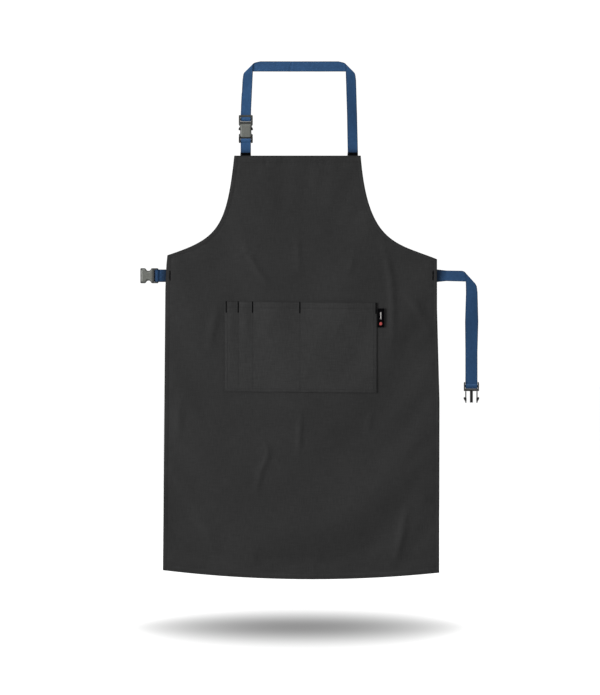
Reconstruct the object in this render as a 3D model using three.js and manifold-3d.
// Artist smock apron: a canvas bib apron with a webbing neck loop, a divided front pocket
// and a webbing waist belt, each belt closed by a side-release buckle.
//
// Units are millimetres. +Z is up, +X is to the viewer's right as the apron faces them, and the
// front faces -Y. The origin is the middle of the neck strap's lower edge, where the apron hangs.

import * as THREE from "three";
import { mergeVertices } from "three/addons/utils/BufferGeometryUtils.js";
import Module from "manifold-3d";

const wasm = await Module();
wasm.setup();

// Driving dimensions ---------------------------------------------------------------------------

const GAP = 0.3; // between pieces that touch
const WEBBING = 1.4; // thickness of both webbings
const NECK_WEBBING = 20.5; // width
const WAIST_WEBBING = 25; // width

const BIB_TOP = -168.6;
// Corners of each side edge, as [x, z], and the handles of its armhole curve. The armhole leaves
// the bib nearly straight down and reaches the underarm sweeping outwards. The two sides differ a
// little, as the apron hangs.
const EDGES = {
  left: {
    bib: [-130, BIB_TOP],
    bibHandle: [-15.6, -147.6],
    underarm: [-264, -366.8],
    underarmHandle: [99.1, 32.9],
    hem: [-272.5, -997],
  },
  right: {
    bib: [123.5, BIB_TOP],
    bibHandle: [17.3, -217.4],
    underarm: [273.5, -377],
    underarmHandle: [-38, 42],
    hem: [279.5, -1002],
  },
};
const HEM_SAG = 15.5; // the hem's middle is this far below the line between its corners

const CLOTH = 1.2; // panel thickness
const HEM = 1; // thickness of the cloth turned back in a hem
const HEM_WIDTH = { top: 16, armhole: 9, side: 10, bottom: 13 };

// Layers from back to front, as the y of each middle plane.
const RUN_Y = 0; // neck strap's top run
const STRAP_Y = -1.3; // upright straps and both waist webbings
const HEM_Y = STRAP_Y - WEBBING / 2 - GAP - HEM / 2;
const PANEL_Y = HEM_Y - HEM / 2 - GAP - CLOTH / 2;
const PANEL_FRONT = PANEL_Y - CLOTH / 2;

const NECK = { topEdge: 20.5, topX: 103, footX: 107, cornerCut: 28 };
const NECK_FLEX = 7; // the neck straps bend this far above the bib
const FLEX_ROOM = 2.6; // webbing stops this far short of the neck's bending line
const NECK_TAIL = 45; // free end of the neck strap, above the buckle
const SEWN = 34; // length of webbing sewn behind the panel

const POCKET = { left: -151, right: 155, top: -461, bottom: -642, depth: 6.5, cloth: 1, hem: 14 };
const POCKET_SEAMS = [29, 57.6, 152]; // from the pocket's left edge
const TACK = { width: 2.2, height: 22, thick: 0.7 };
const WAIST_TACK = { height: 19, inset: 9 };

const LABEL = { out: 14, top: -474, bottom: -512, thick: 0.8, hinge: 1.2, forward: 3 };

const WAIST_Z = -408.5; // middle of the waist webbing
// x where each waist webbing bends, just outside the panel
const WAIST_FLEX = { left: -276, right: 280 };
const DROP_X = 344; // middle of the hanging part of the waist strap

const BUCKLE = {
  depth: 9,
  wall: 1.6,
  round: 0.8,
  corner: 2,
  plugDepth: 7,
  shoulder: 4, // solid part of a plug, above its strap's window
  waist: 5.2, // how far each side is hollowed for the prong
  bar: { thick: 3, high: 4 },
  clearance: 0.4,
};
// A hollow's heights are where it starts, reaches its full depth, leaves it and ends, from the mouth.
const NECK_BUCKLE = {
  width: 28, body: 29, length: 42, slots: [29, 35.6], slotHigh: 2.6, frame: 13, hollow: [2.5, 7, 16, 24],
};
const WAIST_BUCKLE = { width: 30, body: 27, length: 35.6, frame: 18, hollow: [8.5, 14.5, 17.5, 24] };
const NECK_MOUTH_Z = -129.6;
const WAIST_MOUTH_X = -317.6;
const PLUG_SHOULDER_Z = -639;
const PRONG = { length: 23.5, arm: 2, inset: 2.8, shoulder: 12.4, thick: 5, barb: 0.4, crown: 4 };
const GUIDE = { width: 5.5, length: 23 };
const PLUG_BAR = { neck: -9, waist: -10 }; // middle of each plug's strap bar, from its shoulder

// Materials ------------------------------------------------------------------------------------

const canvas = () => new THREE.MeshStandardMaterial({ color: 0x343434, roughness: 0.92, metalness: 0 });
const pocketCanvas = () => new THREE.MeshStandardMaterial({ color: 0x3a3a3a, roughness: 0.92, metalness: 0 });
const webbing = () => new THREE.MeshStandardMaterial({ color: 0x274b78, roughness: 0.75, metalness: 0 });
const plastic = () => new THREE.MeshStandardMaterial({ color: 0x5c5e58, roughness: 0.45, metalness: 0 });
const darkPlastic = () => new THREE.MeshStandardMaterial({ color: 0x26282a, roughness: 0.45, metalness: 0 });
const thread = () => new THREE.MeshStandardMaterial({ color: 0x0c0c0c, roughness: 0.8, metalness: 0 });
const wovenLabel = () => new THREE.MeshStandardMaterial({ color: 0x101010, roughness: 0.7, metalness: 0 });

// Geometry helpers -----------------------------------------------------------------------------

const X = new THREE.Vector3(1, 0, 0);
const Y = new THREE.Vector3(0, 1, 0);
const Z = new THREE.Vector3(0, 0, 1);

function shapeOf(points) {
  return new THREE.Shape(points.map(([x, y]) => new THREE.Vector2(x, y)));
}

function rectangle(left, bottom, right, top) {
  return shapeOf([[left, bottom], [right, bottom], [right, top], [left, top]]);
}

// A flat sheet: the shape is drawn in X and Z, and its thickness is centred on y.
function sheet(shape, y, thick, options = {}) {
  const { round = 0, curveSegments = 8 } = options;
  const geometry = new THREE.ExtrudeGeometry(shape, {
    depth: thick - 2 * round,
    bevelEnabled: round > 0,
    bevelThickness: round,
    bevelSize: round,
    bevelOffset: -round,
    bevelSegments: 2,
    curveSegments,
  });
  geometry.applyMatrix4(new THREE.Matrix4().makeBasis(X, Z, Y.clone().negate()));
  return geometry.translate(0, y + thick / 2 - round, 0);
}

// A bar of constant section: the shape is drawn in Y and Z, and its length is centred on x.
function bar(shape, x, length, curveSegments = 6) {
  const geometry = new THREE.ExtrudeGeometry(shape, { depth: length, bevelEnabled: false, curveSegments });
  geometry.applyMatrix4(new THREE.Matrix4().makeBasis(Y, Z, X));
  return geometry.translate(x - length / 2, 0, 0);
}

function box(low, high) {
  const size = high.map((value, i) => value - low[i]);
  const geometry = new THREE.BoxGeometry(...size);
  return geometry.translate(...low.map((value, i) => value + size[i] / 2));
}

function solid(geometry) {
  const bare = geometry.clone();
  bare.deleteAttribute("normal");
  bare.deleteAttribute("uv");
  const merged = mergeVertices(bare, 1e-4);
  return new wasm.Manifold(new wasm.Mesh({
    numProp: 3,
    vertProperties: new Float32Array(merged.attributes.position.array),
    triVerts: new Uint32Array(merged.index.array),
  }));
}

function geometryOf(manifold) {
  const mesh = manifold.getMesh();
  const geometry = new THREE.BufferGeometry();
  geometry.setAttribute("position", new THREE.BufferAttribute(new Float32Array(mesh.vertProperties), 3));
  geometry.setIndex(new THREE.BufferAttribute(new Uint32Array(mesh.triVerts), 1));
  geometry.computeVertexNormals();
  return geometry;
}

function join(...geometries) {
  return geometryOf(geometries.map(solid).reduce((sum, part) => sum.add(part)));
}

function cut(geometry, ...tools) {
  return geometryOf(tools.map(solid).reduce((rest, tool) => rest.subtract(tool), solid(geometry)));
}

function named(name, geometry, material) {
  const mesh = new THREE.Mesh(geometry, material);
  mesh.name = name;
  return mesh;
}

const SIDES = { left: -1, right: 1 };

// The panel's outline --------------------------------------------------------------------------

const point = ([x, z]) => new THREE.Vector2(x, z);

function armholeCurve(side) {
  const { bib, bibHandle, underarm, underarmHandle } = EDGES[side];
  const start = point(bib);
  const end = point(underarm);
  return new THREE.CubicBezierCurve(
    start,
    start.clone().add(point(bibHandle)),
    end.clone().add(point(underarmHandle)),
    end,
  );
}

function sideX(side, z) {
  const { underarm, hem } = EDGES[side];
  const share = (underarm[1] - z) / (underarm[1] - hem[1]);
  return underarm[0] + (hem[0] - underarm[0]) * share;
}

function hemCurve(rise = 0) {
  const right = point(EDGES.right.hem).add(point([0, rise]));
  const left = point(EDGES.left.hem).add(point([0, rise]));
  const low = right.clone().lerp(left, 0.5).sub(point([0, 2 * HEM_SAG]));
  return new THREE.QuadraticBezierCurve(right, low, left);
}

function bodyPanel() {
  const right = armholeCurve("right").getPoints(28);
  const left = armholeCurve("left").getPoints(28).reverse();
  const outline = new THREE.Shape([...right, ...hemCurve().getPoints(20), ...left]);
  return named("body_panel", sheet(outline, PANEL_Y, CLOTH), canvas());
}

// Hems, turned to the back ---------------------------------------------------------------------

// A strip as wide as the hem on one side of a curve; turn is +1 or -1 for the side it lies on.
function strip(curve, width, turn, steps) {
  const outer = curve.getPoints(steps);
  const inner = outer.map((place, i) => {
    const tangent = curve.getTangent(i / steps);
    return new THREE.Vector2(-tangent.y, tangent.x).multiplyScalar(turn * width).add(place);
  });
  return new THREE.Shape([...outer, ...inner.reverse()]);
}

function hem(name, shape) {
  return named(name, sheet(shape, HEM_Y, HEM), canvas());
}

function topHem() {
  const inset = HEM_WIDTH.armhole + GAP;
  const left = EDGES.left.bib[0] + inset;
  const right = EDGES.right.bib[0] - inset;
  return hem("bib_top_hem", rectangle(left, BIB_TOP - HEM_WIDTH.top, right, BIB_TOP));
}

function armholeHem(side) {
  const shape = strip(armholeCurve(side), HEM_WIDTH.armhole, -SIDES[side], 24);
  return hem(`armhole_hem_${side}`, shape);
}

function sideHem(side) {
  const top = EDGES[side].underarm[1] - HEM_WIDTH.armhole - GAP;
  const low = EDGES[side].hem[1] + HEM_WIDTH.bottom + GAP;
  const outline = [[top, 0], [low, 0], [low, HEM_WIDTH.side], [top, HEM_WIDTH.side]];
  const points = outline.map(([z, inset]) => [sideX(side, z) - SIDES[side] * inset, z]);
  return hem(`side_hem_${side}`, shapeOf(points));
}

function bottomHem() {
  const low = hemCurve().getPoints(20);
  const high = hemCurve(HEM_WIDTH.bottom).getPoints(20).reverse();
  return hem("bottom_hem", new THREE.Shape([...low, ...high]));
}

// Pocket ---------------------------------------------------------------------------------------

const POCKET_INSIDE = PANEL_FRONT - POCKET.depth; // y of the front sheet's inner face
const POCKET_FRONT = POCKET_INSIDE - POCKET.cloth;

// The pocket stands off the panel so that each compartment is open at the top.
function pocketPatch() {
  const back = PANEL_FRONT - GAP;
  const whole = box([POCKET.left, POCKET_FRONT, POCKET.bottom], [POCKET.right, back, POCKET.top]);
  const low = [POCKET.left + POCKET.cloth, POCKET_INSIDE, POCKET.bottom + POCKET.cloth];
  const hollow = box(low, [POCKET.right - POCKET.cloth, back + 1, POCKET.top + 1]);
  return named("pocket_patch", cut(whole, hollow), pocketCanvas());
}

function pocketTopHem() {
  const y = POCKET_INSIDE + GAP + HEM / 2;
  const inset = POCKET.cloth + GAP;
  const shape = rectangle(POCKET.left + inset, POCKET.top - POCKET.hem, POCKET.right - inset, POCKET.top);
  return named("pocket_top_hem", sheet(shape, y, HEM), pocketCanvas());
}

function pocketSeam(index) {
  const x = POCKET.left + POCKET_SEAMS[index];
  const low = [x - POCKET.cloth / 2, POCKET_INSIDE + GAP, POCKET.bottom + POCKET.cloth + GAP];
  const high = [x + POCKET.cloth / 2, PANEL_FRONT - GAP, POCKET.top - POCKET.hem - GAP];
  return named(`pocket_seam_${index + 1}`, box(low, high), thread());
}

function pocketTack(index, fromLeft) {
  const x = POCKET.left + fromLeft;
  const y = POCKET_FRONT - GAP - TACK.thick / 2;
  const shape = rectangle(x - TACK.width / 2, POCKET.top - TACK.height, x + TACK.width / 2, POCKET.top);
  return named(`pocket_tack_${index + 1}`, sheet(shape, y, TACK.thick), thread());
}

const POCKET_TACKS = [5, ...POCKET_SEAMS, POCKET.right - POCKET.left - TACK.width];

// The label is sewn into the pocket's right edge and lies over the panel.
function sideLabel() {
  const left = POCKET.right + LABEL.hinge + GAP;
  const shape = rectangle(left, LABEL.bottom, POCKET.right + LABEL.out, LABEL.top);
  return named("side_label", sheet(shape, PANEL_FRONT - LABEL.forward, LABEL.thick), wovenLabel());
}

// Neck straps ----------------------------------------------------------------------------------

const HALF_NECK = NECK_WEBBING / 2;

// Each upright leans in towards the top, where its corner is creased.
function uprightStrap(side, low) {
  const inner = NECK.topX - HALF_NECK;
  const outer = NECK.topX + HALF_NECK;
  const creaseZ = (x) => NECK.topEdge - (x - (outer - NECK.cornerCut));
  const outline = [[NECK.footX - HALF_NECK, low], [NECK.footX + HALF_NECK, low],
    [outer, creaseZ(outer)], [inner, creaseZ(inner)]];
  return sheet(shapeOf(outline.map(([x, z]) => [side * x, z])), STRAP_Y, WEBBING);
}

function topRun() {
  const high = NECK.topX + HALF_NECK - NECK.cornerCut;
  const low = high + NECK.topEdge;
  const outline = [[-low, 0], [low, 0], [high, NECK.topEdge], [-high, NECK.topEdge]];
  return sheet(shapeOf(outline), RUN_Y, WEBBING);
}

function neckStrap() {
  const left = uprightStrap(-1, NECK_MOUTH_Z + NECK_BUCKLE.slots[1] + NECK_BUCKLE.slotHigh + GAP);
  const right = uprightStrap(1, BIB_TOP + NECK_FLEX + FLEX_ROOM);
  return named("neck_strap", join(topRun(), left, right), webbing());
}

// The strap's threaded end comes forward over the socket's middle bar, goes back below it and
// runs up behind the strap.
function neckStrapTail() {
  const { slots, slotHigh, length } = NECK_BUCKLE;
  const face = BUCKLE.bar.thick / 2 + GAP;
  const tongue = slotHigh - 2 * GAP;
  const low = slots[0] + GAP;
  const high = slots[1] + GAP;
  const leg = (front, bottom, back, top) => box([-HALF_NECK, front, bottom], [HALF_NECK, back, top]);
  const over = leg(-face - WEBBING, low, -face, high + tongue);
  const lower = leg(-face - WEBBING, low, face + WEBBING, low + tongue);
  const upper = leg(-face - WEBBING, high, WEBBING / 2, high + tongue);
  const tail = leg(face, low, face + WEBBING, length + NECK_TAIL);
  const mesh = named("neck_strap_tail", join(over, lower, upper, tail), webbing());
  mesh.position.set(-NECK.footX, STRAP_Y, NECK_MOUTH_Z);
  return mesh;
}

// A loop of doubled webbing round a buckle's bar, with its two legs sewn together into a stem.
// The bar's centre is the origin, and the stem goes down. The loop leaves the bar room to turn.
function webbingLoop(width, stemEnd) {
  const room = BUCKLE.bar.high / 2 + 0.4;
  const inner = { y: room, z: room };
  const outer = { y: inner.y + WEBBING, z: inner.z + WEBBING };
  const pinch = -outer.z - WEBBING; // the legs meet here
  const shape = new THREE.Shape();
  shape.moveTo(-WEBBING, stemEnd);
  shape.lineTo(WEBBING, stemEnd);
  shape.lineTo(WEBBING, pinch);
  shape.lineTo(outer.y, -inner.z);
  shape.lineTo(outer.y, inner.z);
  shape.quadraticCurveTo(outer.y, outer.z, 0, outer.z);
  shape.quadraticCurveTo(-outer.y, outer.z, -outer.y, inner.z);
  shape.lineTo(-outer.y, -inner.z);
  shape.lineTo(-WEBBING, pinch);
  return cut(bar(shape, 0, width), box([-width, -inner.y, -inner.z], [width, inner.y, inner.z]));
}

const NECK_BAR_Z = NECK_MOUTH_Z - BUCKLE.clearance + PLUG_BAR.neck;

function neckTab() {
  const stemEnd = BIB_TOP + NECK_FLEX + FLEX_ROOM - NECK_BAR_Z;
  const loop = webbingLoop(NECK_WEBBING, stemEnd).translate(-NECK.footX, STRAP_Y, NECK_BAR_Z);
  return named("neck_tab", loop, webbing());
}

function neckSewnEnd(name, side) {
  const x = side * NECK.footX;
  const shape = rectangle(x - HALF_NECK, BIB_TOP - SEWN, x + HALF_NECK, BIB_TOP + NECK_FLEX - FLEX_ROOM);
  return named(name, sheet(shape, STRAP_Y, WEBBING), webbing());
}

function neckTack(side) {
  const x = SIDES[side] * NECK.footX;
  const y = STRAP_Y - WEBBING / 2 - GAP - TACK.thick / 2;
  const shape = rectangle(x - HALF_NECK, BIB_TOP + GAP, x + HALF_NECK, BIB_TOP + NECK_FLEX - FLEX_ROOM);
  return named(`neck_tack_${side}`, sheet(shape, y, TACK.thick), thread());
}

// Buckles --------------------------------------------------------------------------------------
// A socket is drawn with its mouth at z = 0 facing down and its strap bars at the top. A plug is
// drawn with its shoulder at z = 0, its prongs going up and its strap bar below.

function socketOutline({ width, length, hollow }) {
  const half = width / 2;
  const neck = half - BUCKLE.waist;
  const { corner } = BUCKLE;
  const [low, start, end, high] = hollow;
  const lowMiddle = (low + start) / 2;
  const highMiddle = (end + high) / 2;
  const shape = new THREE.Shape();
  shape.moveTo(-half + corner, 0);
  shape.lineTo(half - corner, 0);
  shape.quadraticCurveTo(half, 0, half, corner);
  shape.lineTo(half, low);
  shape.bezierCurveTo(half, lowMiddle, neck, lowMiddle, neck, start);
  shape.lineTo(neck, end);
  shape.bezierCurveTo(neck, highMiddle, half, highMiddle, half, high);
  shape.lineTo(half, length - corner);
  shape.quadraticCurveTo(half, length, half - corner, length);
  shape.lineTo(-half + corner, length);
  shape.quadraticCurveTo(-half, length, -half, length - corner);
  shape.lineTo(-half, high);
  shape.bezierCurveTo(-half, highMiddle, -neck, highMiddle, -neck, end);
  shape.lineTo(-neck, start);
  shape.bezierCurveTo(-neck, lowMiddle, -half, lowMiddle, -half, low);
  shape.lineTo(-half, corner);
  shape.quadraticCurveTo(-half, 0, -half + corner, 0);
  return shape;
}

function socketBody(size) {
  const shell = sheet(socketOutline(size), 0, BUCKLE.depth, { round: BUCKLE.round, curveSegments: 5 });
  const inside = { x: size.width / 2 - BUCKLE.wall, y: BUCKLE.depth / 2 - BUCKLE.wall, z: size.body - 3 };
  return cut(shell, box([-inside.x, -inside.y, -1], [inside.x, inside.y, inside.z]));
}

// The webbing passes behind the outer bar, over the thin middle bar and back through the lower slot.
function adjustableSocket(size, webbingWidth) {
  const { length, slots, slotHigh } = size;
  const half = webbingWidth / 2 + GAP;
  const deep = BUCKLE.depth;
  const face = BUCKLE.bar.thick / 2;
  const openings = slots.map((z) => box([-half, -deep, z], [half, deep, z + slotHigh]));
  const front = box([-half, -deep, slots[0]], [half, -face, slots[1] + slotHigh]);
  const back = box([-half, face, slots[0]], [half, deep, length + 1]);
  const behindOuterBar = box([-half, -WEBBING / 2 - GAP, slots[1]], [half, deep, length + 1]);
  return cut(socketBody(size), ...openings, front, back, behindOuterBar);
}

function fixedSocket(size, webbingWidth) {
  const { width, length, body } = size;
  const half = webbingWidth / 2 + GAP;
  const window = box([-half, -BUCKLE.depth, body], [half, BUCKLE.depth, length + 1]);
  return join(cut(socketBody(size), window), crossBar(length - BUCKLE.bar.high / 2, width - 1));
}

function crossBar(z, length) {
  const { thick, high } = BUCKLE.bar;
  const edge = 0.8;
  const y = thick / 2;
  const h = high / 2;
  const outline = [[-y + edge, -h], [y - edge, -h], [y, -h + edge], [y, h - edge], [y - edge, h],
    [-y + edge, h], [-y, h - edge], [-y, -h + edge]];
  return bar(shapeOf(outline), 0, length).translate(0, 0, z);
}

function plugFrame({ width, frame }, webbingWidth, barZ) {
  const half = width / 2;
  const { corner, plugDepth: depth } = BUCKLE;
  const shape = new THREE.Shape();
  shape.moveTo(-half + corner, -frame);
  shape.lineTo(half - corner, -frame);
  shape.quadraticCurveTo(half, -frame, half, -frame + corner);
  shape.lineTo(half, 0);
  shape.lineTo(-half, 0);
  shape.lineTo(-half, -frame + corner);
  shape.quadraticCurveTo(-half, -frame, -half + corner, -frame);
  const block = sheet(shape, 0, depth, { round: BUCKLE.round, curveSegments: 5 });
  const halfSlot = webbingWidth / 2 + GAP;
  const window = box([-halfSlot, -depth, -frame - 1], [halfSlot, depth, -BUCKLE.shoulder]);
  const side = GUIDE.width / 2;
  const guide = box([-side, -PRONG.thick / 2, -1], [side, PRONG.thick / 2, GUIDE.length]);
  return join(cut(block, window), crossBar(barZ, width - 1), guide);
}

function prong(side, width) {
  const { length, shoulder, crown, barb } = PRONG;
  const outer = width / 2 - PRONG.inset; // outer face of the arm
  const inner = outer - PRONG.arm;
  const widest = width / 2 + barb;
  const shape = new THREE.Shape();
  shape.moveTo(inner, GAP);
  shape.lineTo(outer, GAP);
  shape.lineTo(outer, shoulder);
  shape.lineTo(widest - barb, shoulder);
  shape.quadraticCurveTo(widest + barb, shoulder + crown / 2, widest - barb, shoulder + crown);
  shape.quadraticCurveTo(outer, length - crown, outer - barb, length);
  shape.lineTo(inner, length);
  shape.lineTo(inner - barb, shoulder + crown);
  shape.lineTo(inner, shoulder - barb);
  const geometry = sheet(shape, 0, PRONG.thick, { curveSegments: 4 });
  return side > 0 ? geometry : geometry.rotateZ(Math.PI);
}

function neckBuckle() {
  const group = new THREE.Group();
  const place = (mesh, z) => {
    mesh.position.set(-NECK.footX, STRAP_Y, z);
    group.add(mesh);
  };
  const shoulder = NECK_MOUTH_Z - BUCKLE.clearance;
  place(named("neck_socket", adjustableSocket(NECK_BUCKLE, NECK_WEBBING), plastic()), NECK_MOUTH_Z);
  place(named("neck_plug", plugFrame(NECK_BUCKLE, NECK_WEBBING, PLUG_BAR.neck), darkPlastic()), shoulder);
  for (const [side, sign] of Object.entries(SIDES)) {
    place(named(`neck_prong_${side}`, prong(sign, NECK_BUCKLE.width), darkPlastic()), shoulder);
  }
  return group;
}

// Waist belt -----------------------------------------------------------------------------------

const HALF_WAIST = WAIST_WEBBING / 2;

function waistSocket() {
  const mesh = named("waist_socket", fixedSocket(WAIST_BUCKLE, WAIST_WEBBING), plastic());
  mesh.position.set(WAIST_MOUTH_X, STRAP_Y, WAIST_Z);
  mesh.rotation.y = Math.PI / 2;
  return mesh;
}

const WAIST_BAR_X = WAIST_MOUTH_X + WAIST_BUCKLE.length - BUCKLE.bar.high / 2;

function waistTab() {
  const stemEnd = WAIST_BAR_X - WAIST_FLEX.left + GAP + WEBBING;
  const mesh = named("waist_tab", webbingLoop(WAIST_WEBBING, stemEnd), webbing());
  mesh.position.set(WAIST_BAR_X, STRAP_Y, WAIST_Z);
  mesh.rotation.y = -Math.PI / 2;
  return mesh;
}

const WAIST_FLEX_ROOM = 1.5; // webbing stops this far short of the waist's bending lines

function waistSewnEnd(name, side) {
  const inner = sideX(side, WAIST_Z) - SIDES[side] * SEWN;
  const outer = WAIST_FLEX[side] - SIDES[side] * WAIST_FLEX_ROOM;
  const [left, right] = [inner, outer].sort((a, b) => a - b);
  const shape = rectangle(left, WAIST_Z - HALF_WAIST, right, WAIST_Z + HALF_WAIST);
  return named(name, sheet(shape, STRAP_Y, WEBBING), webbing());
}

function waistTack(side) {
  const x = sideX(side, WAIST_Z) - SIDES[side] * WAIST_TACK.inset;
  const half = WAIST_TACK.height / 2;
  const y = PANEL_FRONT - GAP - TACK.thick / 2;
  const shape = rectangle(x - TACK.width / 2, WAIST_Z - half, x + TACK.width / 2, WAIST_Z + half);
  return named(`waist_tack_${side}`, sheet(shape, y, TACK.thick), thread());
}

// The strap leaves the panel level, is creased at 45 degrees and drops in front of itself.
const CREASE_EASE = 0.4; // each layer stops this far short of the crease

function waistStrapRun() {
  const top = WAIST_Z + HALF_WAIST;
  const low = WAIST_Z - HALF_WAIST;
  const start = WAIST_FLEX.right + WAIST_FLEX_ROOM;
  const outline = [[start, low], [DROP_X + HALF_WAIST - CREASE_EASE, low],
    [DROP_X - HALF_WAIST - CREASE_EASE, top], [start, top]];
  return named("waist_strap_run", sheet(shapeOf(outline), STRAP_Y, WEBBING), webbing());
}

const DROP_Y = STRAP_Y - WEBBING - GAP;
const PLUG_FRAME_TOP = PLUG_SHOULDER_Z + WAIST_BUCKLE.frame;
const PLUG_FLEX = PLUG_FRAME_TOP + 4; // the strap bends this far above the plug

function waistStrapDrop() {
  const inner = DROP_X - HALF_WAIST;
  const outer = DROP_X + HALF_WAIST;
  const crease = (x) => WAIST_Z - (x - DROP_X) - CREASE_EASE;
  const low = PLUG_FLEX + 1;
  const outline = [[inner, low], [outer, low], [outer, crease(outer)], [inner, crease(inner)]];
  return named("waist_strap_drop", sheet(shapeOf(outline), DROP_Y, WEBBING), webbing());
}

// The strap's end goes round the plug's bar and is sewn to itself behind the strap.
function waistStrapTurn() {
  const stemEnd = -(PLUG_FLEX - 1 - PLUG_SHOULDER_Z + PLUG_BAR.waist);
  const mesh = named("waist_strap_turn", webbingLoop(WAIST_WEBBING, stemEnd), webbing());
  mesh.position.set(DROP_X, DROP_Y, PLUG_SHOULDER_Z - PLUG_BAR.waist);
  mesh.rotation.y = Math.PI;
  return mesh;
}

function waistPlug() {
  const group = new THREE.Group();
  group.position.set(DROP_X, DROP_Y, PLUG_SHOULDER_Z);
  group.rotation.y = Math.PI;
  group.add(named("waist_plug", plugFrame(WAIST_BUCKLE, WAIST_WEBBING, PLUG_BAR.waist), darkPlastic()));
  // the plug hangs upside down, so its own right is the apron's left
  group.add(named("waist_prong_left", prong(1, WAIST_BUCKLE.width), darkPlastic()));
  group.add(named("waist_prong_right", prong(-1, WAIST_BUCKLE.width), darkPlastic()));
  return group;
}

// The apron ------------------------------------------------------------------------------------

function apron() {
  const group = new THREE.Group();
  group.add(bodyPanel(), topHem(), bottomHem());
  for (const side of Object.keys(SIDES)) {
    group.add(armholeHem(side), sideHem(side), neckTack(side), waistTack(side));
  }
  group.add(pocketPatch(), pocketTopHem(), sideLabel());
  POCKET_SEAMS.forEach((_, index) => group.add(pocketSeam(index)));
  POCKET_TACKS.forEach((fromLeft, index) => group.add(pocketTack(index, fromLeft)));
  group.add(neckStrap(), neckStrapTail(), neckTab(), neckBuckle());
  group.add(neckSewnEnd("neck_tab_end", SIDES.left), neckSewnEnd("neck_strap_end", SIDES.right));
  group.add(waistSocket(), waistTab());
  group.add(waistSewnEnd("waist_tab_end", "left"), waistSewnEnd("waist_strap_end", "right"));
  group.add(waistStrapRun(), waistStrapDrop(), waistStrapTurn(), waistPlug());
  return group;
}

export default apron();
